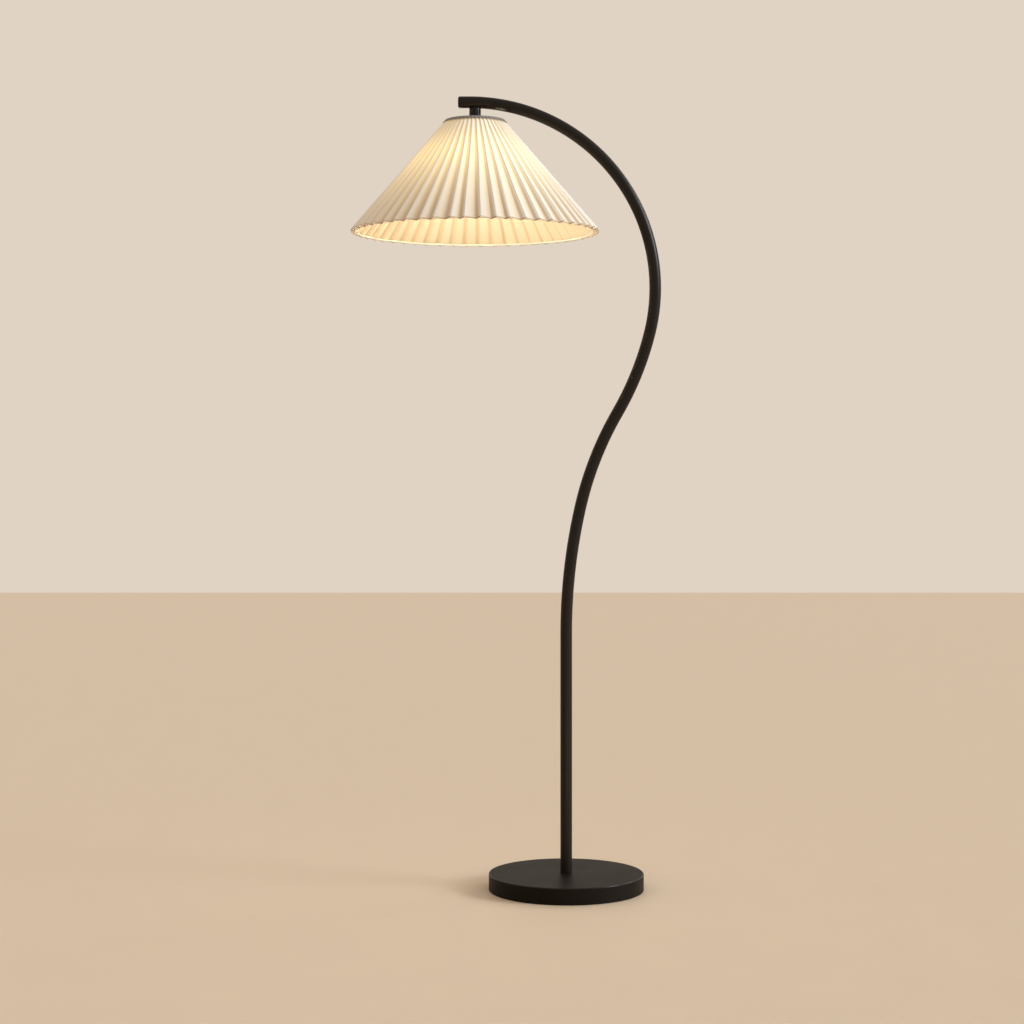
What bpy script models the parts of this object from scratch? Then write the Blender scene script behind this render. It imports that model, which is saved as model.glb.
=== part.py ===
"""Arc floor lamp: a round weighted base, a bent steel stem and a hanging pleated shade.

Metres, +Z up. The origin is on the floor at the centre of the base. The stem bends in the XZ plane:
it leans towards +X, arches over, and holds the lampholder, bulb and shade on the -X side.
"""
import math

import bmesh
import bpy
from mathutils import Matrix, Vector

# --- driving dimensions ---------------------------------------------------------------------------
GAP = 0.0003                # between pieces that touch
MERGE = 0.00001

BASE_RADIUS = 0.140
BASE_HEIGHT = 0.030
PAD_THICKNESS = 0.0015
COVER_WALL = 0.0012
COVER_EDGE = 0.0016         # rounding of the cover's top edge
PLATE_WALL = 0.0012         # plate that closes the base from below
WEIGHT_LOW = 0.0155         # underside of the iron disc
POCKET_RADIUS = 0.0240      # round the nut, under the stem
POCKET_TOP = 0.0215
BOSS_CIRCLE = 0.095         # of the three bosses that the plate is screwed to
CORD_HEIGHT = 0.0092        # of the inlet in the base's rear

STEM_RADIUS = 0.01065
STEM_WALL = 0.0015
STEM_STRAIGHT_TOP = 0.464   # where the pole starts to bend
STEM_BENDS = (              # radius and angle of each bend; a positive angle turns towards -X
    (1.020, -12.8),
    (0.616, -17.2),
    (0.560, 16.0),
    (0.3355, 104.0),
)
STEM_RUN = 0.0165           # level run at the end of the arm, before its cap
END_CAP = 0.0045

ROD_RADIUS = 0.0050         # the hollow threaded rods, base and neck
ROD_BORE = 0.0035
ROD_HOLE = ROD_RADIUS + GAP
FLEX_RADIUS = 0.0020

NECK_INSET = 0.0308         # lamp axis, from the end of the arm
NECK_RADIUS_TOP = 0.0084
NECK_RADIUS_BOTTOM = 0.0098
NECK_BOTTOM = 1.3860

HOLDER_RADIUS = 0.0192
FLANGE_TOP = 1.3470         # of the lampholder's flange, which the shade hangs from
SHELL_RADIUS = 0.0140       # screw shell
CONTACT_Z = 1.3488          # where the bulb's tip meets the centre contact

BULB_LENGTH = 0.108
BULB_RADIUS = 0.030

SHADE_TOP = 1.3870
SHADE_BOTTOM = 1.1870
SHADE_RADIUS_TOP = 0.0533   # mean radius through the pleats
SHADE_RADIUS_BOTTOM = 0.2226
SHADE_THICKNESS = 0.0010
PLEATS = 53
PLEAT_DEPTH_TOP = 0.0018    # ridge to valley
PLEAT_DEPTH_BOTTOM = 0.0060
PLEAT_FACE = 0.70           # share of each pleat taken by its broad face
HOOP_WIRE = 0.0015          # radius of the frame's wire
ARMS = 3


# --- scene and materials ---------------------------------------------------------------------------
def clear_scene():
    for obj in list(bpy.data.objects):
        bpy.data.objects.remove(obj, do_unlink=True)


def collection(name):
    made = bpy.data.collections.new(name)
    bpy.context.scene.collection.children.link(made)
    return made


def material(name, colour, roughness, metallic=0.0, alpha=1.0):
    made = bpy.data.materials.new(name)
    made.use_nodes = True
    shader = made.node_tree.nodes["Principled BSDF"]
    shader.inputs["Base Color"].default_value = (*colour, 1.0)
    shader.inputs["Roughness"].default_value = roughness
    shader.inputs["Metallic"].default_value = metallic
    shader.inputs["Alpha"].default_value = alpha
    return made


clear_scene()
LAMP = collection("arc_floor_lamp")
CUTTERS = collection("cutters")

BLACK_COAT = material("black_coat", (0.012, 0.011, 0.010), 0.45, 0.3)
BLACK_GLOSS = material("black_gloss", (0.008, 0.008, 0.008), 0.18)
CREAM_FABRIC = material("cream_fabric", (0.78, 0.68, 0.52), 0.85)
TAUPE_BAND = material("taupe_band", (0.30, 0.26, 0.22), 0.75)
WHITE_WIRE = material("white_wire", (0.80, 0.78, 0.72), 0.35, 0.2)
ZINC = material("zinc", (0.55, 0.56, 0.58), 0.35, 1.0)
BRASS = material("brass", (0.70, 0.50, 0.20), 0.3, 1.0)
CAST_IRON = material("cast_iron", (0.10, 0.10, 0.10), 0.8, 0.6)
FELT = material("felt", (0.02, 0.02, 0.02), 0.95)
RUBBER = material("rubber", (0.015, 0.015, 0.015), 0.7)
CERAMIC = material("ceramic", (0.80, 0.79, 0.75), 0.3)
NYLON = material("nylon", (0.75, 0.74, 0.70), 0.5)
OPAL_GLASS = material("opal_glass", (0.95, 0.90, 0.80), 0.2)


# --- modelling tools -------------------------------------------------------------------------------
def new_object(name, data, mat, group=LAMP):
    obj = bpy.data.objects.new(name, data)
    group.objects.link(obj)
    data.materials.append(mat)
    return obj


def smooth(obj, degrees=35):
    obj.data.shade_smooth()
    obj.data.set_sharp_from_angle(angle=math.radians(degrees))


def baked(obj):
    """Turn an object with modifiers, or a curve, into a plain mesh object with welded caps."""
    depsgraph = bpy.context.evaluated_depsgraph_get()
    mesh = bpy.data.meshes.new_from_object(obj.evaluated_get(depsgraph), depsgraph=depsgraph)
    work = bmesh.new()
    work.from_mesh(mesh)
    bmesh.ops.remove_doubles(work, verts=work.verts, dist=MERGE)
    work.to_mesh(mesh)
    work.free()
    name, place, group = obj.name, obj.matrix_world.copy(), obj.users_collection[0]
    bpy.data.objects.remove(obj, do_unlink=True)
    made = bpy.data.objects.new(name, mesh)
    group.objects.link(made)
    made.matrix_world = place
    return made


def turned(name, profile, mat, at=(0, 0, 0), steps=28, closed=True, group=LAMP):
    """A profile of (radius, height) points, turned about Z. It runs down its outer side."""
    mesh = bpy.data.meshes.new(name)
    count = len(profile)
    edges = [(i, i + 1) for i in range(count - 1)]
    if closed:
        edges.append((count - 1, 0))
    mesh.from_pydata([(r, 0, z) for r, z in profile], edges, [])
    obj = new_object(name, mesh, mat, group)
    obj.location = at
    screw = obj.modifiers.new("turn", 'SCREW')
    screw.steps = steps
    screw.render_steps = steps
    screw.use_merge_vertices = True
    screw.merge_threshold = MERGE
    made = baked(obj)
    smooth(made)
    return made


def solid_of(name, outer, mat, at=(0, 0, 0), steps=28, group=LAMP):
    """A turned solid: the outer profile runs top to bottom, and the axis closes it."""
    top = (0.0, outer[0][1])
    bottom = (0.0, outer[-1][1])
    return turned(name, [top, *outer, bottom], mat, at, steps, closed=False, group=group)


def ring(name, inner, outer, low, high, mat, at=(0, 0, 0), steps=28):
    return turned(name, [(outer, high), (outer, low), (inner, low), (inner, high)], mat, at, steps)


def rounding(centre, radius, start, end, count=4):
    """Points of a rounded corner, from one angle to another in degrees."""
    angles = [math.radians(start + (end - start) * i / count) for i in range(count + 1)]
    return [(centre[0] + radius * math.cos(a), centre[1] + radius * math.sin(a)) for a in angles]


def peg(name, radius, low, high, mat, at=(0, 0), sides=24, group=LAMP):
    """An upright cylinder, or a prism with few sides."""
    mesh = bpy.data.meshes.new(name)
    work = bmesh.new()
    bmesh.ops.create_cone(work, cap_ends=True, segments=sides, radius1=radius, radius2=radius,
                          depth=high - low)
    work.to_mesh(mesh)
    work.free()
    obj = new_object(name, mesh, mat, group)
    obj.location = (at[0], at[1], (low + high) / 2)
    return obj


def block(name, low, high, mat, bevel=0.0, group=LAMP):
    mesh = bpy.data.meshes.new(name)
    work = bmesh.new()
    bmesh.ops.create_cube(work, size=1.0)
    size = [b - a for a, b in zip(low, high)]
    bmesh.ops.scale(work, vec=size, verts=work.verts)
    work.to_mesh(mesh)
    work.free()
    obj = new_object(name, mesh, mat, group)
    obj.location = [(a + b) / 2 for a, b in zip(low, high)]
    if bevel:
        edge = obj.modifiers.new("edge", 'BEVEL')
        edge.width = bevel
        edge.segments = 2
    return obj


def wire(name, points, radius, mat, sides=8, caps=True, closed=False, group=LAMP):
    """A POLY curve with a round section."""
    curve = bpy.data.curves.new(name, 'CURVE')
    curve.dimensions = '3D'
    curve.bevel_depth = radius
    curve.bevel_resolution = sides // 2 - 2
    curve.use_fill_caps = caps
    spline = curve.splines.new('POLY')
    spline.points.add(len(points) - 1)
    for point, place in zip(spline.points, points):
        point.co = (*place, 1.0)
    spline.use_cyclic_u = closed
    obj = new_object(name, curve, mat, group)
    bpy.context.view_layer.update()
    made = baked(obj)
    smooth(made)
    return made


def as_cutter(obj):
    obj.hide_render = True
    obj.display_type = 'WIRE'
    return obj


def cut(obj, *tools):
    for tool in tools:
        as_cutter(tool)
        step = obj.modifiers.new("cut", 'BOOLEAN')
        step.operation = 'DIFFERENCE'
        step.solver = 'EXACT'
        step.object = tool
    return obj


def join(obj, tool):
    step = obj.modifiers.new("join", 'BOOLEAN')
    step.operation = 'UNION'
    step.solver = 'EXACT'
    step.object = as_cutter(tool)
    return obj


def bore(name, radius, low, high, at=(0, 0), sides=24):
    return peg(f"{name}_cutter", radius, low, high, ZINC, at, sides, CUTTERS)


def lying_bore(name, radius, start, end, sides=24):
    """A cylinder between two points, used as a cutter."""
    start, end = Vector(start), Vector(end)
    obj = peg(f"{name}_cutter", radius, 0, (end - start).length, ZINC, (0, 0), sides, CUTTERS)
    turn = (end - start).to_track_quat('Z', 'Y')
    obj.matrix_world = Matrix.LocRotScale((start + end) / 2, turn, None)
    return obj


# --- the stem's centreline -------------------------------------------------------------------------
def stem_path(step_degrees, low):
    """Points of the stem's centreline: a straight pole, four tangent bends and a level run."""
    place = Vector((0, 0, STEM_STRAIGHT_TOP))
    heading = math.pi / 2
    points = [Vector((0, 0, low)), place.copy()]
    for radius, degrees in STEM_BENDS:
        turn = math.radians(degrees)
        side = math.copysign(radius, turn)
        centre = place + side * Vector((-math.sin(heading), 0, math.cos(heading)))
        count = max(2, round(abs(degrees) / step_degrees))
        for i in range(1, count + 1):
            angle = heading + turn * i / count
            points.append(centre + side * Vector((math.sin(angle), 0, -math.cos(angle))))
        place = points[-1].copy()
        heading += turn
    points.append(place + STEM_RUN * Vector((math.cos(heading), 0, math.sin(heading))))
    return points


PATH = stem_path(5.5, BASE_HEIGHT + GAP)
ARM_END = PATH[-1]
ARM_Z = ARM_END.z
LAMP_X = ARM_END.x - END_CAP + NECK_INSET
AXIS = (LAMP_X, 0)
AXIS_3D = (LAMP_X, 0, 0)


# --- base ------------------------------------------------------------------------------------------
def base():
    skirt_inner = BASE_RADIUS - COVER_WALL
    plate_low = PAD_THICKNESS + GAP
    plate_top = plate_low + PLATE_WALL
    under_top = BASE_HEIGHT - COVER_WALL
    solid_of("base_pad", [(BASE_RADIUS - 0.0025, PAD_THICKNESS), (BASE_RADIUS - 0.0025, 0)], FELT,
             steps=48)

    edge = rounding((BASE_RADIUS - COVER_EDGE, BASE_HEIGHT - COVER_EDGE), COVER_EDGE, 90, 0, 3)
    cover = turned("base_cover", [
        (ROD_HOLE, BASE_HEIGHT), *edge, (BASE_RADIUS, plate_low), (skirt_inner, plate_low),
        (skirt_inner, under_top), (ROD_HOLE, under_top)], BLACK_COAT, steps=64)
    cut(cover, lying_bore("inlet", 0.0045, (0, BASE_RADIUS - 0.010, CORD_HEIGHT),
                          (0, BASE_RADIUS + 0.010, CORD_HEIGHT)))

    inside = skirt_inner - GAP
    weight_top = under_top - GAP
    weight = turned("base_weight", [
        (ROD_HOLE, weight_top), (inside, weight_top), (inside, WEIGHT_LOW),
        (POCKET_RADIUS, WEIGHT_LOW), (POCKET_RADIUS, POCKET_TOP), (ROD_HOLE, POCKET_TOP)],
        CAST_IRON, steps=48)
    plate = solid_of("bottom_plate", [(inside, plate_top), (inside, plate_low)], ZINC, steps=48)
    for i in range(3):
        angle = math.radians(30 + 120 * i)
        at = (BOSS_CIRCLE * math.cos(angle), BOSS_CIRCLE * math.sin(angle))
        join(weight, peg(f"boss_{i}", 0.0060, plate_top + GAP, WEIGHT_LOW + 0.001, CAST_IRON, at, 16,
                         CUTTERS))
        cut(weight, bore(f"boss_hole_{i}", 0.0018, 0.0, 0.0170, at, 12))
        cut(plate, solid_of(f"countersink_{i}", [(0.0018, plate_top + 0.001), (0.0018, plate_top),
                            (0.0034, plate_low), (0.0034, 0)], ZINC, (*at, 0), 16, CUTTERS))
        solid_of(f"plate_screw_{i + 1}", [(0.0015, 0.0150), (0.0015, plate_top),
                 (0.0030, plate_low + 0.0001)], ZINC, (*at, 0), 16)

    washer_top = POCKET_TOP - GAP
    ring("rod_washer", ROD_HOLE, 0.0190, washer_top - 0.0020, washer_top, ZINC)
    spring_top = washer_top - 0.0020 - GAP
    ring("spring_washer", ROD_HOLE, 0.0090, spring_top - 0.0014, spring_top, ZINC, steps=20)
    nut_top = spring_top - 0.0014 - GAP
    nut = peg("rod_nut", 0.0098, nut_top - 0.0050, nut_top, ZINC, sides=6)
    cut(nut, bore("rod_nut", ROD_HOLE, nut_top - 0.010, nut_top + 0.010, sides=20))
    ring("base_rod", ROD_BORE, ROD_RADIUS, nut_top - 0.0062, BASE_HEIGHT + 0.026, ZINC, steps=20)
    ring("stem_foot_insert", ROD_HOLE, STEM_RADIUS - STEM_WALL - GAP, BASE_HEIGHT + GAP,
         BASE_HEIGHT + 0.030, ZINC, steps=20)

    gap = COVER_WALL / 2 + GAP
    bush = turned("cord_inlet_bush", [
        (0.0030, 0.0018 + gap), (0.0054, 0.0018 + gap), (0.0061, 0.0012 + gap), (0.0061, gap),
        (0.0042, gap), (0.0042, -gap), (0.0055, -gap), (0.0055, -gap - 0.0014),
        (0.0030, -gap - 0.0014)], RUBBER, steps=20)
    bush.matrix_world = Matrix.LocRotScale(
        Vector((0, BASE_RADIUS - COVER_WALL / 2, CORD_HEIGHT)),
        Vector((0, 1, 0)).to_track_quat('Z', 'X'), None)
    cut(weight, block("bush_room_cutter", (-0.0080, BASE_RADIUS - 0.008, 0),
                      (0.0080, BASE_RADIUS + 0.01, CORD_HEIGHT + 0.0080), CAST_IRON, group=CUTTERS))


def terminals():
    """The three-way block inside the base, where the flex meets the mains cord."""
    floor = PAD_THICKNESS + GAP + PLATE_WALL
    low = Vector((-0.012, 0.0280, floor + GAP))
    high = Vector((0.012, 0.0420, floor + 0.0108))
    body = block("terminal_block", low, high, NYLON, bevel=0.0006)
    middle = (low.z + high.z) / 2
    for i in range(3):
        x = (i - 1) * 0.0075
        cut(body, lying_bore(f"terminal_{i}", 0.0026, (x, low.y - 0.01, middle),
                             (x, high.y + 0.01, middle), 16))
        tube = ring(f"terminal_sleeve_{i + 1}", 0.0014, 0.0023, -0.0055, 0.0055, BRASS, steps=16)
        tube.matrix_world = Matrix.LocRotScale(
            Vector((x, (low.y + high.y) / 2, middle)), Vector((0, 1, 0)).to_track_quat('Z', 'X'), None)


# --- stem ------------------------------------------------------------------------------------------
def stem():
    open_tube = wire("stem_tube", PATH, STEM_RADIUS, BLACK_COAT, sides=16, caps=False)
    wall = open_tube.modifiers.new("wall", 'SOLIDIFY')
    wall.thickness = STEM_WALL
    wall.offset = -1
    wall.use_even_offset = True
    tube = baked(open_tube)
    smooth(tube)
    cut(tube, bore("arm_hole", ROD_HOLE, ARM_Z - 0.020, ARM_Z, AXIS))

    inner = STEM_RADIUS - STEM_WALL - GAP
    corner = 0.0038
    cap = solid_of("arm_end_cap", [
        *rounding((STEM_RADIUS - corner, END_CAP - corner), corner, 90, 0, 3),
        (STEM_RADIUS, GAP), (inner, GAP), (inner, -0.008)], BLACK_COAT, steps=24)
    cap.matrix_world = Matrix.LocRotScale(
        Vector((ARM_END.x, 0, ARM_Z)), Vector((-1, 0, 0)).to_track_quat('Z', 'Y'), None)

    block_radius = inner - 0.0008
    insert = solid_of("arm_insert", [(block_radius, 0.0095), (block_radius, -0.0085)], ZINC, steps=20)
    insert.matrix_world = Matrix.LocRotScale(
        Vector((LAMP_X, 0, ARM_Z)), Vector((1, 0, 0)).to_track_quat('Z', 'Y'), None)
    rod_top = ARM_Z - 0.0036
    cut(insert,
        bore("insert_rod", ROD_HOLE, ARM_Z - 0.020, rod_top + GAP, AXIS),
        bore("insert_flex", ROD_BORE, ARM_Z - 0.010, ARM_Z + 0.0034, AXIS),
        lying_bore("insert_way", ROD_BORE, (LAMP_X, 0, ARM_Z), (LAMP_X + 0.020, 0, ARM_Z)))
    ring("neck_rod", ROD_BORE, ROD_RADIUS, NECK_BOTTOM - 0.0110, rod_top, ZINC, AXIS_3D, 20)

    neck = turned("neck", [
        (NECK_RADIUS_TOP, ARM_Z - 0.0060), (NECK_RADIUS_BOTTOM, NECK_BOTTOM + 0.0004),
        (NECK_RADIUS_BOTTOM - 0.0004, NECK_BOTTOM), (ROD_HOLE, NECK_BOTTOM),
        (ROD_HOLE, ARM_Z - 0.0060)], BLACK_GLOSS, AXIS_3D, 24)
    saddle = wire("saddle_cutter", PATH[-12:], STEM_RADIUS + GAP, ZINC, sides=16, group=CUTTERS)
    cut(neck, saddle)


def flex_points():
    """The flex's route: terminal block, base rod, the whole stem, the neck and the lampholder."""
    bend = 0.0052
    floor = PAD_THICKNESS + GAP + PLATE_WALL
    low = floor + FLEX_RADIUS + 0.0010
    points = [Vector((0, 0.0277, floor + 0.0055)), Vector((0, 0.0220, floor + 0.0050)),
              Vector((0, 0.0150, low + 0.0008)), Vector((0, 0.0090, low + 0.0001))]
    for i in range(5):
        angle = math.radians(90 * i / 4)
        points.append(Vector((0, bend - bend * math.sin(angle), low + bend - bend * math.cos(angle))))
    points += [Vector((0, 0, z)) for z in (0.030, 0.080, 0.160, 0.240, 0.320, 0.400)]
    turn = 0.0065
    path = [p for p in stem_path(3.5, BASE_HEIGHT) if p.z > 0.42 and not (p.z > 1 and p.x < LAMP_X + 0.012)]
    points += path
    centre = Vector((LAMP_X + turn, 0, ARM_Z - turn))
    for i in range(5):
        angle = math.radians(90 + 90 * i / 4)
        points.append(centre + turn * Vector((math.cos(angle), 0, math.sin(angle))))
    points += [Vector((LAMP_X, 0, z)) for z in (1.400, 1.385, 1.3665)]
    return points


# --- lampholder ------------------------------------------------------------------------------------
def lampholder():
    cap_top = NECK_BOTTOM - GAP
    wall = 0.0018
    cap_low = FLANGE_TOP + 0.0090
    turned("holder_cap", [
        (ROD_HOLE, cap_top), (0.0098, cap_top), (0.0106, cap_top - 0.0010), (0.0112, cap_top - 0.0050),
        (0.0150, cap_top - 0.0095), (0.0184, cap_top - 0.0135), (0.0195, cap_top - 0.0180),
        (0.0195, cap_low), (0.0195 - wall, cap_low), (0.0195 - wall, cap_top - 0.0180),
        (0.0168, cap_top - 0.0142), (0.0138, cap_top - 0.0106), (0.0094, cap_top - 0.0054),
        (0.0088, cap_top - 0.0020), (ROD_HOLE, cap_top - 0.0020)], BLACK_GLOSS, AXIS_3D, 24)
    nut_top = cap_top - 0.0020 - GAP
    nut = peg("neck_rod_nut", 0.0080, nut_top - 0.0028, nut_top, ZINC, AXIS, 6)
    cut(nut, bore("neck_rod_nut", ROD_HOLE, nut_top - 0.01, nut_top + 0.01, AXIS))

    body_top = cap_low - GAP
    flange_low = FLANGE_TOP - 0.0024
    body_low = FLANGE_TOP - 0.0240
    inner = 0.0156
    turned("holder_body", [
        (0.0172, body_top), (HOLDER_RADIUS, body_top - 0.0010), (HOLDER_RADIUS, FLANGE_TOP),
        (0.0228, FLANGE_TOP), (0.0228, flange_low), (HOLDER_RADIUS, flange_low),
        (HOLDER_RADIUS, body_low + 0.0008), (HOLDER_RADIUS - 0.0008, body_low), (inner, body_low),
        (inner, CONTACT_Z + 0.0018), (0.0136, CONTACT_Z + 0.0018), (0.0136, CONTACT_Z + 0.0034),
        (inner, CONTACT_Z + 0.0034), (inner, body_top)], BLACK_GLOSS, AXIS_3D, 24)
    disc_low = CONTACT_Z + 0.0034 + GAP
    disc_top = disc_low + 0.0062
    disc = peg("holder_insulator", inner - GAP, disc_low, disc_top, CERAMIC, AXIS, 24)
    ring("screw_shell", SHELL_RADIUS - 0.0004, SHELL_RADIUS, body_low + 0.0022, CONTACT_Z + 0.0014,
         BRASS, AXIS_3D, 24)
    for i in range(2):
        side = LAMP_X + (i * 2 - 1) * 0.0080
        cut(disc, bore(f"terminal_hole_{i}", 0.0016, disc_low - 0.01, disc_top + 0.01, (side, 0), 12))
        solid_of(f"holder_terminal_screw_{i + 1}", [
            (0.0020, disc_top + 0.0018), (0.0026, disc_top + 0.0012), (0.0026, disc_top + GAP),
            (0.0013, disc_top + GAP), (0.0013, disc_low + 0.0010)], BRASS, (side, 0, 0), 16)

    strip = bpy.data.curves.new("centre_contact", 'CURVE')
    strip.dimensions = '2D'
    strip.fill_mode = 'BOTH'
    strip.extrude = 0.0022
    low, high, thick = CONTACT_Z + GAP, disc_low - GAP, 0.0004
    outline = [(-0.0050, high), (-0.0050, high - thick), (-0.0020, high - thick), (-0.0008, low),
               (0.0036, low), (0.0044, low + 0.0012), (0.0040, low + 0.0012 + thick),
               (0.0032, low + thick), (-0.0005, low + thick), (-0.0017, high)]
    spline = strip.splines.new('POLY')
    spline.points.add(len(outline) - 1)
    for point, (x, z) in zip(spline.points, outline):
        point.co = (x, z, 0, 1)
    spline.use_cyclic_u = True
    contact = new_object("centre_contact", strip, BRASS)
    contact.matrix_world = Matrix.Translation(AXIS_3D) @ Matrix.Rotation(math.pi / 2, 4, 'X')
    bpy.context.view_layer.update()
    baked(contact)

    ring_top = flange_low - 2 * GAP - 0.0015
    turned("shade_ring", [
        (HOLDER_RADIUS + GAP, ring_top), (0.0262, ring_top), (0.0270, ring_top - 0.0008),
        (0.0270, ring_top - 0.0080), (0.0262, ring_top - 0.0088), (HOLDER_RADIUS + GAP, ring_top - 0.0088)],
        BLACK_GLOSS, AXIS_3D, 28)
    return ring_top + GAP


# --- bulb ------------------------------------------------------------------------------------------
def bulb():
    top = CONTACT_Z
    solid_of("bulb_contact", [(0.0030, top), (0.0046, top - 0.0008), (0.0046, top - 0.0018)], ZINC,
             AXIS_3D, 24)
    cap_top = top - 0.0050
    solid_of("bulb_insulator", [(0.0050, top - 0.0021), (0.0105, cap_top + GAP)], BLACK_GLOSS,
             AXIS_3D, 24)
    cap_low = cap_top - 0.0220
    skin = 0.0004
    turned("bulb_cap", [
        (0.0100, cap_top), (0.0126, cap_top - 0.0012), (0.0131, cap_top - 0.0020),
        (0.0131, cap_low + 0.0010), (0.0134, cap_low), (0.0134 - skin, cap_low),
        (0.0131 - skin, cap_low + 0.0010), (0.0131 - skin, cap_top - 0.0022),
        (0.0124, cap_top - 0.0016), (0.0100, cap_top - skin)], ZINC, AXIS_3D, 20)

    low = top - BULB_LENGTH
    middle = low + BULB_RADIUS
    neck = 0.0122
    outer = [(neck, cap_low + 0.0080), (neck, cap_low - 0.0040)]
    shoulder_z = middle + BULB_RADIUS * math.sin(math.radians(40))
    shoulder_r = BULB_RADIUS * math.cos(math.radians(40))
    for i in range(1, 4):
        t = i / 4
        blend = t * t * (3 - 2 * t)
        outer.append((neck + (shoulder_r - neck) * (0.35 * t + 0.65 * blend),
                      cap_low - 0.0040 + (shoulder_z - cap_low + 0.0040) * t))
    outer += rounding((0, middle), BULB_RADIUS, 40, -90, 9)
    outer[-1] = (0.0, low)
    skin = 0.0008
    inside = [(max(0.0, r - skin), z + (skin if z < middle else 0)) for r, z in reversed(outer)]
    turned("bulb_globe", inside + outer, OPAL_GLASS, AXIS_3D, 20, closed=False)


# --- shade -----------------------------------------------------------------------------------------
def cone_radius(z):
    share = (SHADE_TOP - z) / (SHADE_TOP - SHADE_BOTTOM)
    return SHADE_RADIUS_TOP + (SHADE_RADIUS_BOTTOM - SHADE_RADIUS_TOP) * share


def shade_cover():
    """A cone frustum folded into pleats: from its ridge, each pleat's broad face falls inwards to a
    valley, and a narrow return rises to the next ridge. The folds stand along the cone's normal."""
    corners = ((0.0, 0.5), (PLEAT_FACE / 2, -0.2), (PLEAT_FACE, -0.5), ((1 + PLEAT_FACE) / 2, 0.0))
    rise = SHADE_TOP - SHADE_BOTTOM
    flare = SHADE_RADIUS_BOTTOM - SHADE_RADIUS_TOP
    outward, upward = rise / math.hypot(rise, flare), flare / math.hypot(rise, flare)
    mesh = bpy.data.meshes.new("shade_cover")
    work = bmesh.new()
    bmesh.ops.create_cone(work, cap_ends=False, segments=PLEATS * len(corners),
                          radius1=SHADE_RADIUS_BOTTOM, radius2=SHADE_RADIUS_TOP, depth=rise)
    for vert in work.verts:
        angle = math.atan2(vert.co.y, vert.co.x)
        index = round(angle / (2 * math.pi) * PLEATS * len(corners))
        pleat, corner = divmod(index, len(corners))
        phase, height = corners[corner]
        lift = height * (PLEAT_DEPTH_TOP if vert.co.z > 0 else PLEAT_DEPTH_BOTTOM)
        radius = math.hypot(vert.co.x, vert.co.y) + lift * outward
        angle = 2 * math.pi * (pleat + phase) / PLEATS
        vert.co = (radius * math.cos(angle), radius * math.sin(angle), vert.co.z + lift * upward)
    work.to_mesh(mesh)
    work.free()
    obj = new_object("shade_cover", mesh, CREAM_FABRIC)
    obj.location = (LAMP_X, 0, (SHADE_TOP + SHADE_BOTTOM) / 2)
    skin = obj.modifiers.new("skin", 'SOLIDIFY')
    skin.thickness = SHADE_THICKNESS
    skin.offset = 0
    return obj


def hoop(name, radius, z, sides=6, steps=32):
    """A wire ring: a round section turned about the lamp's axis."""
    profile = rounding((radius, z), HOOP_WIRE, 90, 90 - 360 * (sides - 1) / sides, sides - 1)
    return turned(name, profile, WHITE_WIRE, AXIS_3D, steps)


def shade(fitter_low):
    shade_cover()
    top_z = SHADE_TOP - 0.0016
    top_radius = cone_radius(top_z) - PLEAT_DEPTH_TOP / 2 - SHADE_THICKNESS - HOOP_WIRE - 2 * GAP
    hoop("shade_top_hoop", top_radius, top_z)
    low_z = SHADE_BOTTOM + 0.0010
    hoop("shade_rim_hoop", cone_radius(low_z) - PLEAT_DEPTH_BOTTOM / 2 - SHADE_THICKNESS * 2
         - HOOP_WIRE - GAP, low_z, steps=56)

    band_low, band_high, band = SHADE_TOP - 0.0055, SHADE_TOP + 0.0006, 0.0007
    clear = PLEAT_DEPTH_TOP / 2 + SHADE_THICKNESS + GAP
    high, low = cone_radius(band_high) + clear, cone_radius(band_low) + clear + 0.0003
    turned("shade_top_band", [(high + band, band_high), (low + band, band_low), (low, band_low),
                              (high, band_high)], TAUPE_BAND, AXIS_3D, 53)

    plate_top = fitter_low + 0.0015
    ring("shade_fitter", HOLDER_RADIUS + 2 * GAP, 0.0300, fitter_low, plate_top, ZINC, AXIS_3D)
    for i in range(ARMS):
        turn = Matrix.Rotation(math.radians(90 + 360 * i / ARMS), 3, 'Z')
        start = Vector((0.0262, 0, plate_top + HOOP_WIRE + GAP))
        bend = Vector((0.0300, 0, start.z + 0.0006))
        knee = Vector((0.0330, 0, start.z + 0.0034))
        end = Vector((top_radius - 0.0009, 0, top_z - HOOP_WIRE - 0.0008))
        points = [Vector(AXIS_3D) + turn @ p for p in (start, bend, knee, end)]
        wire(f"shade_arm_{i + 1}", points, HOOP_WIRE, WHITE_WIRE)


base()
terminals()
stem()
wire("inner_flex", flex_points(), FLEX_RADIUS, NYLON)
FITTER_LOW = lampholder()
bulb()
shade(FITTER_LOW)
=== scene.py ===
# %% [markdown]
# # An arc floor lamp with a pleated shade
# The lamp has a round, weighted base, one bent steel pipe and a cone of pleated cloth round a bulb.
# The solids of its parts come ready made, as a fixed frame. This lesson gives them their looks: fine
# surfaces worked out with numpy, finishes made of shader nodes, lights and a camera.

# %% Load the frame
import math

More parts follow.
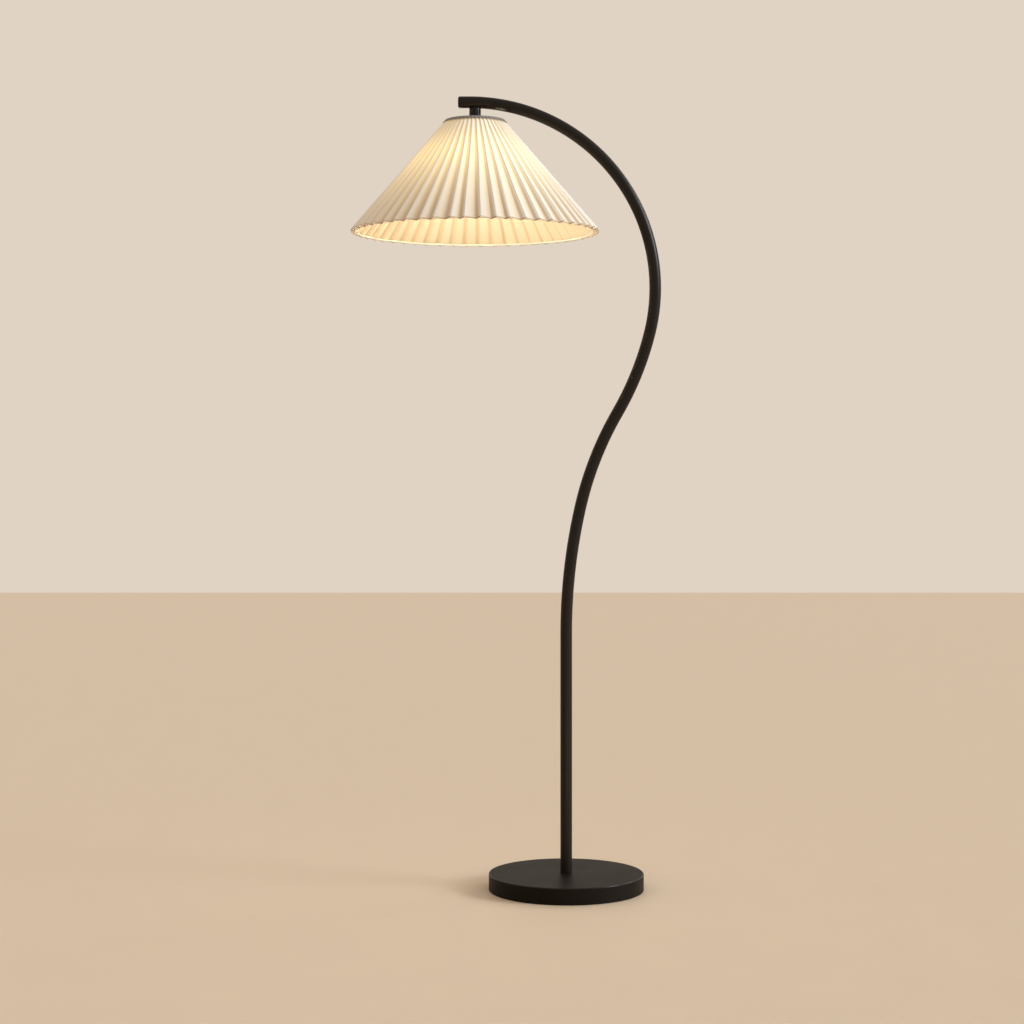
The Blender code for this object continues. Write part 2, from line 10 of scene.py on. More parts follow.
import bmesh
import bpy
import numpy as np
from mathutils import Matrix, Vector


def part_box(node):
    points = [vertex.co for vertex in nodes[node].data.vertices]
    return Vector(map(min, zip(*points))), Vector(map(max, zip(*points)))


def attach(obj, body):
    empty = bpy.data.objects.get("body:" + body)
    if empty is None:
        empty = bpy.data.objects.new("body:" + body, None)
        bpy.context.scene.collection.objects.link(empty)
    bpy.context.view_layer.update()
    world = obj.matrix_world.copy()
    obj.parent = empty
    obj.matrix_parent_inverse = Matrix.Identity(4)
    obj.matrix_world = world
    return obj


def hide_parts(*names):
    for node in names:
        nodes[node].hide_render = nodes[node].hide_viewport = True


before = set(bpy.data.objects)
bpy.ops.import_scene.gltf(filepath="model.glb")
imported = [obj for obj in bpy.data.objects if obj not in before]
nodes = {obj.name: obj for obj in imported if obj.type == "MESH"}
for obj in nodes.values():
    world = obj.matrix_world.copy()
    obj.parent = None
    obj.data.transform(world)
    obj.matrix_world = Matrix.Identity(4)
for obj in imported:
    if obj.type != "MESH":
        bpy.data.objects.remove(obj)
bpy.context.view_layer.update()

# %% [markdown]
# ## The camera and the stage
# A long lens, as high as the eyes of a seated person, keeps the pole straight. The camera looks level,
# and the frame is shifted down a little instead of tilting it, so upright lines stay upright.
#
# The world gives an even, warm light, and cooler daylight comes from the right: a broad window, a weak
# light from behind that picks out edges, and a faint, wide one for the sky. These three are parallel
# lights, so they fall evenly on the whole floor. A warm panel on the floor in front, which the camera
# doesn't see, stands for the light that a sunlit floor throws back.

# %% Camera, floor and lights
scene = bpy.context.scene
scene.view_settings.view_transform = 'Standard'

camera = bpy.data.objects.new("camera", bpy.data.cameras.new("camera"))
scene.collection.objects.link(camera)
camera.location = (-0.098, -3.72, 0.758)
camera.rotation_euler = (math.radians(90), 0, 0)
camera.data.sensor_width = 36
camera.data.lens = 72.35
camera.data.shift_y = -0.041
scene.camera = camera


def far_light(name, towards, spread, power, colour):
    """Parallel light that comes from a direction, softened by the angle that its source fills."""
    light = bpy.data.lights.new(name, 'SUN')
    light.angle = math.radians(spread)
    light.energy = power
    light.color = colour
    obj = bpy.data.objects.new(name, light)
    obj.rotation_euler = Vector(towards).to_track_quat('Z', 'Y').to_euler()
    scene.collection.objects.link(obj)


def panel_light(name, place, target, size, power, colour):
    """A glowing rectangle that lights the scene but isn't seen itself."""
    light = bpy.data.lights.new(name, 'AREA')
    light.shape = 'RECTANGLE'
    light.size, light.size_y = size
    light.energy = power
    light.color = colour
    obj = bpy.data.objects.new(name, light)
    obj.location = place
    obj.rotation_euler = (Vector(target) - Vector(place)).to_track_quat('-Z', 'Y').to_euler()
    obj.visible_camera = False
    scene.collection.objects.link(obj)


far_light("window", (3.3, -0.95, 1.3), 20, 2.7, (0.84, 0.95, 1.0))
far_light("rim", (2.4, 1.5, 1.7), 16, 0.45, (1.0, 0.98, 0.96))
far_light("sky", (1.9, -0.5, 1.9), 40, 0.12, (0.97, 0.985, 1.0))
panel_light("floor_bounce", (0.35, -1.1, 0.01), (0.35, -1.1, 1.0), (0.9, 0.7), 9, (1.0, 0.58, 0.28))

world = bpy.data.worlds.new("studio")
scene.world = world
world.use_nodes = True
background = world.node_tree.nodes["Background"]
background.inputs["Color"].default_value = (0.745, 0.651, 0.552, 1)
background.inputs["Strength"].default_value = 1.0

# %% [markdown]
# ## A few tools
# A surface here is a grid of points: each row is one outline, each column one line across the outlines.
# The grid becomes a mesh in one step, with a UV map in metres and any number of values per point. Where
# a row shrinks to one point, as at a pole, its points are merged afterwards.

# %% From a grid to a mesh
MERGE = 1e-6  # points closer than this become one
SHARP_EDGE = math.radians(40)  # a steeper edge than this stays hard


def surface(name, grid, wrap_rows=False, uv=None, values=None, finish=None):
    """Quads between neighbouring points of grid[row, column], with the last column joined to the first.

    wrap_rows joins the last row to the first too. uv holds one coordinate for each column and one for
    each row, and one more of each for the wrap.
    """
    rows, cols = grid.shape[:2]
    row, col = np.meshgrid(np.arange(rows if wrap_rows else rows - 1), np.arange(cols), indexing='ij')
    next_row, next_col = (row + 1) % rows, (col + 1) % cols
    corner_rows = np.stack([row, next_row, next_row, row], -1).reshape(-1, 4)
    corner_cols = np.stack([col, col, next_col, next_col], -1).reshape(-1, 4)
    quads = corner_rows * cols + corner_cols
    mesh = bpy.data.meshes.new(name)
    mesh.from_pydata(grid.reshape(-1, 3).tolist(), [], quads.tolist())
    if uv is not None:
        layer = mesh.uv_layers.new(name="UVMap")
        across = np.stack([col, col, col + 1, col + 1], -1).reshape(-1, 4)
        along = np.stack([row, row + 1, row + 1, row], -1).reshape(-1, 4)
        pair = np.stack([np.asarray(uv[0])[across], np.asarray(uv[1])[along]], -1)
        layer.data.foreach_set("uv", pair.reshape(-1).astype(np.float32))
    for key, value in (values or {}).items():
        layer = mesh.attributes.new(key, 'FLOAT', 'POINT')
        layer.data.foreach_set("value", value.reshape(-1).astype(np.float32))
    return finished(name, mesh, finish)


def finished(name, mesh, finish):
    """Merge doubles, point the faces outwards, shade smooth, and make the object."""
    work = bmesh.new()
    work.from_mesh(mesh)
    bmesh.ops.remove_doubles(work, verts=work.verts, dist=MERGE)
    bmesh.ops.dissolve_degenerate(work, edges=work.edges, dist=MERGE / 10)
    bmesh.ops.recalc_face_normals(work, faces=work.faces)
    work.to_mesh(mesh)
    work.free()
    mesh.shade_smooth()
    mesh.set_sharp_from_angle(angle=SHARP_EDGE)
    obj = bpy.data.objects.new(name, mesh)
    scene.collection.objects.link(obj)
    if finish is not None:
        mesh.materials.append(finish)
    return obj


# %% [markdown]
# Most parts are turned: an outline of (radius, height) points goes round an axis. Real corners are never
# sharp, so `rounded` puts a small curve at each corner of the outline. It does all corners at once: from
# a point before the corner to a point after it, along the parabola that the two edges touch.

# %% Rounded outlines and turned surfaces
def rounded(outline, radius, steps=4, closed=True):
    """Replace each corner c by the quadratic curve (1-t)^2 a + 2t(1-t) c + t^2 b.

    a and b lie radius away from the corner, but always a little less than half an edge.
    """
    points = np.asarray(outline, float)
    radius = np.broadcast_to(np.asarray(radius, float), len(points))
    before, after = np.roll(points, 1, 0), np.roll(points, -1, 0)
    to_before, to_after = before - points, after - points
    long_before = np.linalg.norm(to_before, axis=1)
    long_after = np.linalg.norm(to_after, axis=1)
    cut = np.minimum(radius, 0.48 * np.minimum(long_before, long_after))
    start = points + to_before * (cut / long_before)[:, None]
    end = points + to_after * (cut / long_after)[:, None]
    t = np.linspace(0, 1, steps + 1)[None, :, None]
    curve = (1 - t) ** 2 * start[:, None] + 2 * t * (1 - t) * points[:, None]
    curve = curve + t ** 2 * end[:, None]
    if closed:
        return curve.reshape(-1, 2)
    return np.concatenate([points[:1], curve[1:-1].reshape(-1, 2), points[-1:]])


def quarter(reach, top, radius):
    """Outline of a rolled edge, from (reach - radius, top) round to (reach, top - radius)."""
    turn = np.linspace(np.pi / 2, 0, 9)
    return np.stack([reach - radius + radius * np.cos(turn), top - radius + radius * np.sin(turn)], -1)


def turned(name, outline, finish, at=(0, 0, 0), axis=(0, 0, 1), steps=96, closed=True, shape=None):
    """Each point (r, h) goes to r cos(a), r sin(a), h. shape(a, r, h) may change r round the turn."""
    outline = np.asarray(outline, float)
    angle = np.linspace(0, 2 * np.pi, steps, endpoint=False)[None, :]
    radius, height = outline[:, :1], outline[:, 1:]
    if shape is not None:
        radius = shape(angle, radius, height)
    radius, height = (np.broadcast_to(value, (len(outline), steps)) for value in (radius, height))
    local = np.stack([radius * np.cos(angle), radius * np.sin(angle), height], -1)
    turn = np.array(Vector(axis).to_track_quat('Z', 'Y').to_matrix())
    grid = local @ turn.T + np.asarray(at, float)
    return surface(name, grid, wrap_rows=closed, finish=finish)


# %% [markdown]
# A pipe or a wire is a round section carried along a path. All the paths here lie in a plane, so the
# section needs no twist: one of its axes is the plane's normal, the other is at right angles to the
# path.

# %% Sections carried along a path
def directions(path):
    """Unit tangents: the difference of each point's neighbours."""
    step = np.gradient(path, axis=0)
    return step / np.linalg.norm(step, axis=1, keepdims=True)


def rings(path, side, normal, radius, sides):
    """A ring at each point of the path: path[i] + r (cos(a) side[i] + sin(a) normal)."""
    angle = np.linspace(0, 2 * np.pi, sides, endpoint=False)[None, :, None]
    arm = np.cos(angle) * side[:, None] + np.sin(angle) * normal
    return path[:, None] + np.reshape(radius, (-1, 1, 1)) * arm


def swept(name, path, radius, normal, finish, sides=16):
    """A solid rod whose radius falls to nothing over its rounded ends."""
    tangent = directions(path)
    side = np.cross(tangent, normal)
    end_rings = 4
    bow = np.linspace(0, np.pi / 2, end_rings + 1)[:-1]
    past_end, growing = radius * np.cos(bow)[:, None] * 0.5, radius * np.sin(bow)
    sizes = np.concatenate([growing, np.full(len(path), radius), growing[::-1]])
    side = np.concatenate([np.repeat(side[:1], end_rings, 0), side, np.repeat(side[-1:], end_rings, 0)])
    path = np.concatenate([path[0] - tangent[0] * past_end, path,
                           path[-1] + tangent[-1] * past_end[::-1]])
    return surface(name, rings(path, side, normal, sizes, sides), finish=finish)


# %% [markdown]
# ## Shader maths as Python
# A finish is a material whose nodes are written as expressions. `Value` wraps a node's output, and each
# operator on it adds one Math node. Any other node comes from `Finish.node`, which first makes its
# settings and then fills its sockets with values or links.

# %% A wrapper for sockets and one for materials
MIX_FACTOR, MIX_FIRST, MIX_SECOND, MIX_RESULT = 0, 6, 7, 2  # the colour sockets of a Mix node


class Value:
    """A node's output that takes part in arithmetic."""

    def __init__(self, finish, socket):
        self.finish = finish
        self.socket = socket

    def maths(self, operation, *values):
        return self.finish.node('ShaderNodeMath', {"operation": operation}, *values)

    def __add__(self, other):
        return self.maths('ADD', self, other)

    def __rsub__(self, other):
        return self.maths('SUBTRACT', other, self)

    def __mul__(self, other):
        return self.maths('MULTIPLY', self, other)

    __radd__ = __add__


class Finish:
    """A material with a Principled shader."""

    def __init__(self, name, **plain):
        self.material = bpy.data.materials.new(name)
        self.material.use_nodes = True
        self.tree = self.material.node_tree
        self.shader = self.tree.nodes["Principled BSDF"]
        for socket, value in plain.items():
            self.give(socket.replace("_", " "), value)

    def node(self, kind, settings, *values, out=0, **named):
        made = self.tree.nodes.new(kind)
        for key, value in settings.items():
            setattr(made, key, value)
        for index, value in enumerate(values):
            self.fill(made.inputs[index], value)
        for key, value in named.items():
            self.fill(made.inputs[key.replace("_", " ")], value)
        return Value(self, made.outputs[out])

    def fill(self, socket, value):
        if isinstance(value, Value):
            self.tree.links.new(value.socket, socket)
        elif isinstance(value, tuple) and len(value) == 3 and socket.type == 'RGBA':
            socket.default_value = (*value, 1)
        else:
            socket.default_value = value

    def give(self, socket, value):
        self.fill(self.shader.inputs[socket], value)

    def coordinates(self, source, scale=(1, 1, 1)):
        """The object's own coordinates or those of its UV map, scaled by a Mapping node."""
        raw = self.node('ShaderNodeTexCoord', {}, out=source)
        return self.node('ShaderNodeMapping', {}, Vector=raw, Scale=scale)

    def place(self, scale=(1, 1, 1)):
        return self.coordinates("Object", scale)

    def noise(self, where, scale, detail=3, rough=0.5):
        return self.node('ShaderNodeTexNoise', {}, Vector=where, Scale=scale, Detail=detail,
                         Roughness=rough)

    def bands(self, where, direction, scale):
        return self.node('ShaderNodeTexWave', {"bands_direction": direction}, Vector=where, Scale=scale)

    def mix(self, amount, first, second, blend='MIX'):
        made = self.tree.nodes.new('ShaderNodeMix')
        made.data_type = 'RGBA'
        made.blend_type = blend
        self.fill(made.inputs[MIX_FACTOR], amount)
        self.fill(made.inputs[MIX_FIRST], first)
        self.fill(made.inputs[MIX_SECOND], second)
        return Value(self, made.outputs[MIX_RESULT])

    def spread(self, value, low, high):
        """Stretch the part of value from low to high to 0..1, smoothly."""
        return self.node('ShaderNodeMapRange', {"interpolation_type": 'SMOOTHSTEP'}, value, low, high,
                         0.0, 1.0)

    def attribute(self, name):
        return self.node('ShaderNodeAttribute', {"attribute_name": name}, out="Fac")

    def bump(self, height, strength, distance):
        self.give("Normal", self.node('ShaderNodeBump', {}, Strength=strength, Distance=distance,
                                      Height=height))


# %% [markdown]
# ## Powder coat
# The base and the pipe are powder coated: dry paint, melted in an oven. It is nearly black with a warm
# tint, and it has a fine leathery texture that breaks up every highlight. Two noises give it: one about
# 0.5 mm across for the grain, one about 60 mm across for a slow change of gloss.
#
# The pipe's coat is smoother and glossier than the base's. The base's rolled top edge is worn smooth:
# where the value `polish` is 1, a clear layer on the paint adds a thin bright line. A mesh without this
# value, such as the pipe's, reads it as 0.

# %% Powder coat
def powder_coat(name, specular, roughness, texture):
    finish = Finish(name, Specular_IOR_Level=specular, Coat_Roughness=0.22)
    where = finish.place()
    grain = finish.noise(where, 1900, 3, 0.55)
    slow = finish.noise(where, 16, 2)
    finish.give("Base Color", finish.mix(finish.spread(grain, 0.35, 0.7), (0.0068, 0.0046, 0.0033),
                                         (0.0112, 0.0082, 0.0062)))
    finish.give("Coat Weight", finish.attribute("polish") * (0.22 + slow * 0.25))
    finish.give("Roughness", roughness + slow * 0.10 + grain * 0.08)
    finish.bump(grain, texture, 0.00012)
    return finish.material


BASE_COAT = powder_coat("powder_coat_base", 0.065, 0.40, 0.35)
PIPE_COAT = powder_coat("powder_coat_pipe", 0.17, 0.25, 0.18)

# %% [markdown]
# ## Gloss black, rubber, felt and plastics
# The neck and the lampholder are moulded or enamelled gloss black: a dark base, low roughness and the
# faintest flow marks. Rubber and felt are the same colour but have no gloss, so their texture is what
# tells them apart: rubber has a slight bloom, felt a mat of fibres.

# %% Dark finishes
def gloss_black():
    finish = Finish("gloss_black", Specular_IOR_Level=0.16, Coat_Roughness=0.08)
    where = finish.place()
    flow = finish.noise(finish.place(scale=(1, 1, 0.25)), 260, 2)
    specks = finish.noise(where, 2600, 2)
    finish.give("Base Color", finish.mix(flow, (0.004, 0.0036, 0.0034), (0.008, 0.0072, 0.0068)))
    finish.give("Roughness", 0.13 + flow * 0.10)
    finish.give("Coat Weight", flow * 0.08)
    finish.bump(specks, 0.06, 0.0001)
    return finish.material


def felt_black():
    finish = Finish("felt_black", Specular_IOR_Level=0.1, Sheen_Weight=0.25, Sheen_Roughness=0.6)
    where = finish.place()
    mat = finish.noise(where, 900, 6, 0.75)
    tufts = finish.noise(where, 140, 3)
    finish.give("Base Color", finish.mix(mat, (0.010, 0.010, 0.010), (0.050, 0.048, 0.046)))
    finish.give("Roughness", 0.9 + tufts * 0.1)
    finish.bump(mat + tufts * 0.5, 0.7, 0.0006)
    return finish.material


def mottled(name, low, high, rough, scale=500, detail=3, noise_rough=0.5, change=0.12, bump=0.1,
            stretch=(1, 1, 1), **plain):
    """A finish whose colour, gloss and bump all follow one noise, stretched where it is drawn."""
    finish = Finish(name, **plain)
    mottle = finish.noise(finish.place(stretch), scale, detail, noise_rough)
    finish.give("Base Color", finish.mix(mottle, low, high))
    finish.give("Roughness", rough + mottle * change)
    finish.bump(mottle, bump, 0.0002)
    return finish.material


GLOSS_BLACK = gloss_black()
FELT = felt_black()
RUBBER = mottled("rubber_black", (0.012, 0.012, 0.012), (0.030, 0.029, 0.028), 0.55, 300, detail=4,
                 change=0.25, bump=0.2, Specular_IOR_Level=0.35)

# %% [markdown]
# ## Metals and pale materials
# Zinc plate is bright with a milky, slightly mottled haze. Brass is drawn, so it has fine lines along
# one direction. Cast iron is grey and pitted. The wire frame has a pale lacquer, and the insulating
# parts are white steatite and natural nylon.

# %% Metals, paint, nylon and ceramic
def cast_iron():
    finish = Finish("cast_iron", Metallic=0.7)
    where = finish.place()
    sand = finish.noise(where, 420, 6, 0.7)
    rust = finish.spread(finish.noise(where, 28, 4, 0.65), 0.55, 0.75)
    grey = finish.mix(sand, (0.045, 0.044, 0.043), (0.14, 0.135, 0.13))
    finish.give("Base Color", finish.mix(rust * 0.5, grey, (0.16, 0.075, 0.035)))
    finish.give("Roughness", 0.62 + sand * 0.3)
    finish.bump(sand, 0.8, 0.0008)
    return finish.material


METAL = {"detail": 4, "noise_rough": 0.6, "change": 0.15, "bump": 0.12, "Metallic": 1.0}
ZINC = mottled("zinc_plate", (0.47, 0.48, 0.50), (0.70, 0.71, 0.73), 0.24, 700, **METAL)
NICKEL = mottled("nickel_plate", (0.56, 0.54, 0.51), (0.72, 0.70, 0.66), 0.16, 500, stretch=(1, 1, 6),
                 **METAL)
BRASS = mottled("drawn_brass", (0.58, 0.38, 0.13), (0.80, 0.58, 0.26), 0.20, 900, stretch=(1, 1, 0.1),
                **METAL)
CAST_IRON = cast_iron()
WIRE_PAINT = mottled("wire_lacquer", (0.82, 0.80, 0.75), (0.88, 0.86, 0.81), 0.30)
NYLON = mottled("natural_nylon", (0.66, 0.64, 0.57), (0.76, 0.74, 0.67), 0.42, 260)
FLEX_SHEATH = mottled("flex_sheath", (0.62, 0.61, 0.57), (0.70, 0.69, 0.65), 0.48, 300)
STEATITE = mottled("steatite", (0.76, 0.74, 0.69), (0.84, 0.82, 0.77), 0.22, 900, bump=0.05)

# %% [markdown]
# ## The lit globe
# An opal bulb is a thin white glass that scatters the light of what is inside it, so it looks like an
# evenly bright disc, a little less bright at its neck. A material that gives off light does this, and
# the same light falls on the shade's inside, the floor and the base.

# %% Opal glass with a light in it
globe_low, globe_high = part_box("bulb_globe")
BULB_HEIGHT = globe_low.z + 0.030  # centre of the globe


def lit_opal():
    finish = Finish("lit_opal", Base_Color=(0.9, 0.86, 0.78), Roughness=0.25, Emission_Strength=40.0)
    height = finish.node('ShaderNodeSeparateXYZ', {}, finish.place(), out="Z")
    low_down = 1 - finish.spread(height, BULB_HEIGHT + 0.012, BULB_HEIGHT + 0.055)
    finish.give("Emission Color", finish.mix(low_down, (0.45, 0.34, 0.19), (0.92, 0.87, 0.64)))
    return finish.material


LIT_OPAL = lit_opal()

# %% [markdown]
# ## The shade's cloth
# The cover is a cream cloth bonded to a thin clear film and folded into sunray pleats: each fold is a
# straight line that runs from the top ring to the rim, so the pleats widen downwards. In section, a
# pleat's broad face falls from its ridge to a valley, and a short return climbs to the next ridge.
#
# The film keeps the folds crisp, so simulated cloth, which would slump, is the wrong tool. A formula is
# the right one. A point has two parameters: `u`, which counts pleats round the cone, and `s`, which goes
# down the slope from 0 to 1. The cone gives its place, and `fold(u)` moves it along the cone's normal.

# %% The cone and its folds
ring_low, ring_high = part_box("shade_ring")
LAMP_X = (ring_low.x + ring_high.x) / 2
print("lamp axis at x =", round(LAMP_X, 5))
SHADE_TOP = 1.3870
SHADE_BOTTOM = 1.1870
RADIUS_TOP = 0.0533
RADIUS_BOTTOM = 0.2226
PLEATS = 53
DEPTH_TOP = 0.0018  # ridge to valley
DEPTH_BOTTOM = 0.0059
BROAD = 0.69  # share of a pleat taken by its broad face
CLOTH = 0.00045  # half the thickness of cloth and film

rise, flare = SHADE_TOP - SHADE_BOTTOM, RADIUS_BOTTOM - RADIUS_TOP
SLANT = math.hypot(rise, flare)
OUTWARD, UPWARD = rise / SLANT, flare / SLANT


def fold(part, bow):
    """Height of the fold at each part of a pleat, from 0.5 on the ridge to -0.5 in the valley.

    Both faces fall by t^bow from the ridge, t being 0 on the ridge and 1 in the valley. With bow above
    1 the ridge is round and the valley a sharp crease; below 1 it is the other way round.
    """
    t = np.where(part < BROAD, part / BROAD, (1 - part) / (1 - BROAD))
    return 0.5 - t ** bow


def about_axis(angle, radius, height):
    """Points at some angle, distance and height about the lamp's axis."""
    radius = radius + 0 * angle
    return np.stack([LAMP_X + radius * np.cos(angle), radius * np.sin(angle), height + 0 * radius], -1)


def cover_point(u, s, lift):
    """Place of pleat number u at slope s, moved by lift metres along the cone's normal."""
    return about_axis(2 * np.pi * u / PLEATS, RADIUS_TOP + flare * s + lift * OUTWARD,
                      SHADE_TOP - rise * s + lift * UPWARD)


print("slope of the shade:", round(SLANT, 4), "m; pitch at the rim:",
      round(2 * math.pi * RADIUS_BOTTOM / PLEATS, 4), "m")

# %% [markdown]
# Pleats made by hand and heat are never all alike. Each one gets its own depth and place, a few percent
# off, and a slow wave runs along each fold. The random numbers come from a seeded generator, so the
# shade is the same each time.
#
# The lamp is lit, and the cloth lets some light through. How much reaches a point follows from two
# rules: light thins with the square of the distance, and a slanting surface catches less. The result is
# kept per point as the value `glow`, which the cloth's finish reads. Ridges let less through, because
# the film is doubled in the crease.
#
# More values per point mark the parts of a pleat: `ridge` is the rounded fold, which gets a painted
# highlight and less glow. `valley` is painted shade: on the outside the end of the broad face, and on
# the inside the groove behind a ridge. `cut` is painted shade on the cut edge at the rim, darkest on the
# short return.

# %% Build the pleated cover
dice = np.random.default_rng(11)
PARTS = np.array([0, 0.03, 0.07, 0.12, 0.19, 0.28, 0.38, 0.48, 0.57, 0.64, BROAD, 0.73, 0.78, 0.84,
                  0.865, 0.885, 0.90, 0.94, 0.97])
SLOPES = np.concatenate([[0, 0.004], np.linspace(0.03, 0.97, 22), [0.99, 0.996, 1]])
PHASE = 0.27  # turns the ridges round the cone


def varied(spread):
    """One random number per pleat, eased from each pleat to the next."""
    own = spread * dice.standard_normal(PLEATS).clip(-1.7, 1.7)
    ease = PARTS ** 2 * (3 - 2 * PARTS)
    return (own[:, None] * (1 - ease) + np.roll(own, -1)[:, None] * ease).reshape(1, -1)


part = np.tile(PARTS, PLEATS)[None, :]
count = np.repeat(np.arange(PLEATS), len(PARTS))[None, :]
s = SLOPES[:, None]
bow = 1.12 + varied(0.16)
waver = 0.5 + 0.5 * np.cos(2 * np.pi * (1.3 * s + varied(0.6)))
depth = (DEPTH_TOP + (DEPTH_BOTTOM - DEPTH_TOP) * s) * (1 + varied(0.09)) * (0.95 + 0.08 * waver)
u = count + part + varied(0.04) * (0.25 + 0.75 * s) + 0.02 * (waver - 0.5)
lift = fold(part, bow) * depth
outer_skin = cover_point(u + PHASE, s, lift + CLOTH)
inner_skin = cover_point(u + PHASE, s, lift - CLOTH)


def soft_step(value, low, high):
    """0 below low, 1 above high, and 3t^2 - 2t^3 between."""
    t = ((value - low) / (high - low)).clip(0, 1)
    return t * t * (3 - 2 * t)


def through_the_cloth(s):
    """Light from the bulb that reaches the cloth: cosine over distance squared, 1 at its brightest.

    The lampholder stands in the way of what goes to the top.
    """
    radius, height = RADIUS_TOP + flare * s, SHADE_TOP - rise * s
    across, up = radius, BULB_HEIGHT - height
    cosine = (across * OUTWARD - up * UPWARD) / np.hypot(across, up)
    light = cosine.clip(0) / (across ** 2 + up ** 2) * (0.35 + 0.65 * soft_step(s, 0.0, 0.42))
    return light / light.max()


# Painted highlight on the rounded ridge, which also lets less glow through.
ridge = soft_step(part, 0.865, 0.90) + 1 - soft_step(part, 0.04, 0.20)
# Painted shade at the end of the broad face, towards the valley.
valley = soft_step(part, 0.22, 0.73) * (1 - soft_step(part, 0.84, 0.885))
# Painted shade in the lining's groove behind a ridge.
groove_shade = (soft_step(part, 0.60, 0.98) ** 1.5 + 1 - soft_step(part, 0.0, 0.15)).clip(0, 1)
# Painted shade on the cut edge at the rim, darkest on the short return.
rim_edge_shade = 0.45 + 0.55 * soft_step(part, 0.5, 0.72) * (1 - soft_step(part, 0.93, 0.97))
glow = through_the_cloth(s)


def both_skins(outside, inside):
    """Outside rows from top to rim, then inside rows from rim to top, which closes the shell."""
    shape = outer_skin.shape[:2]
    return np.concatenate([np.broadcast_to(outside, shape), np.broadcast_to(inside, shape)[::-1]])


PLEATED = surface(
    "pleated_cover", np.concatenate([outer_skin, inner_skin[::-1]]), wrap_rows=True,
    uv=(np.append(count + part, PLEATS), np.concatenate([SLOPES, SLOPES[::-1], [0]])),
    values={"glow": both_skins(glow, glow), "ridge": both_skins(ridge, ridge),
            "valley": both_skins(valley, groove_shade), "down": both_skins(s, s),
            "inside": both_skins(0.0, 1.0),
            "cut": both_skins((s > 0.995) * rim_edge_shade, (s > 0.997) * rim_edge_shade)})

# %% [markdown]
# The cloth's finish has three layers. The weave is a fine grid of threads, read from the UV map so that
# it follows the pleats; it makes the bump and a slight change of colour. The next is the colour of each
# part of a pleat, with painted light and shade. Ridges are paler and cooler, a painted highlight, and
# there the cloth only reflects. Valleys are browner, painted shade that grows lower down. The lining is
# paler, with brown painted shade in its grooves; painted shade makes the rim's cut edge darkest.
#
# The last is the glow, light given off: yellow where it is strong, more orange where it is weak, because
# the cloth takes away blue first. Only the outside has it. The bulb itself lights the lining.

# %% Cream cloth, lit from behind
def pleated_cloth():
    finish = Finish("pleated_cloth", Specular_IOR_Level=0.2, Sheen_Weight=0.08, Sheen_Roughness=0.5,
                    Emission_Strength=1.0)
    where = finish.place()
    glow, down, inside, ridge, valley, cut = map(
        finish.attribute, ("glow", "down", "inside", "ridge", "valley", "cut"))
    thread = finish.node('ShaderNodeTexCoord', {}, out="UV")
    streaks = finish.noise(finish.coordinates("UV", (6.0, 1.0, 1)), 3.0, 4, 0.6)
    weft, warp = finish.bands(thread, 'Y', 120.0), finish.bands(thread, 'X', 12.0)
    fibres = finish.noise(where, 1500, 4, 0.6)
    weave = weft * 0.35 + warp * 0.25 + fibres * 0.4
    lower = finish.spread(down, 0.35, 0.95)

    plain = finish.mix(streaks, (0.63, 0.565, 0.49), (0.68, 0.62, 0.55))
    # Painted shade: brown in the valleys, stronger lower down.
    shaded = finish.mix(valley * (0.10 + lower * 0.46), plain, (0.38, 0.255, 0.155))
    # Painted highlight: the ridges paler and cooler.
    outside = finish.mix(ridge * 0.85, shaded, (0.74, 0.71, 0.69))
    pale_lining = finish.mix(streaks, (0.775, 0.705, 0.575), (0.835, 0.775, 0.655))
    # Painted shade: brown in the lining's grooves.
    lining = finish.mix(valley * 0.55, pale_lining, (0.62, 0.45, 0.255))
    cloth = finish.mix(inside, outside, lining)
    # Painted shade: the cut edge at the rim darkened.
    cloth = finish.mix(cut * 0.85, cloth, (0.20, 0.14, 0.10))
    finish.give("Base Color", finish.mix(0.12, cloth, finish.mix(weave, (0.4, 0.4, 0.4), (1, 1, 1)),
                                         'MULTIPLY'))
    finish.give("Roughness", 0.78 + fibres * 0.15)
    shown = glow * (1 - ridge * 0.9) * (1 - valley * 0.2) * (0.9 + streaks * 0.2) * (1 - cut)
    lit = finish.mix(shown, (0.020, 0.010, 0.002), (0.70, 0.495, 0.168))
    finish.give("Emission Color", finish.mix(inside, lit, (0.0, 0.0, 0.0)))
    finish.bump(weave, 0.22, 0.00025)
    return finish.material


PLEATED.data.materials.append(pleated_cloth())
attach(PLEATED, "shade")
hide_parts("shade_cover")

# %% [markdown]
# With its folds opened and laid flat, a cone's cover is part of a ring: its width is the slope, and its
# arcs are as long as the opened top and rim. The smallest rectangle that holds this part follows from
# the angle it fills.


# %% [markdown]
# ## The tape round the top
# A narrow woven tape hides the cut edge of the cloth and holds the pleats to the top ring. It is glued
# over the folds, so it goes gently in and out with them. The section is a thin upright strip with
# rounded edges, carried round the axis with a small wave of one period per pleat.

# %% Tape
def woven_tape():
    finish = Finish("woven_tape", Specular_IOR_Level=0.4, Sheen_Weight=0.3, Sheen_Roughness=0.4)
    uv = finish.node('ShaderNodeTexCoord', {}, out="UV")
    thread = finish.bands(uv, 'X', 260.0) * 0.5 + finish.bands(uv, 'Y', 330.0) * 0.5
    wear = finish.noise(finish.place(), 60, 3)
    plain = finish.mix(wear, (0.115, 0.098, 0.086), (0.175, 0.152, 0.136))
    finish.give("Base Color", finish.mix(thread * 0.35, plain, (0.36, 0.335, 0.31)))
    finish.give("Roughness", 0.62 + thread * 0.2)
    finish.bump(thread, 0.5, 0.0002)
    return finish.material


def replaced(piece, body, node):
    """Ride on a body and stand for a CAD node, which is hidden."""
    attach(piece, body)
    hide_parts(node)


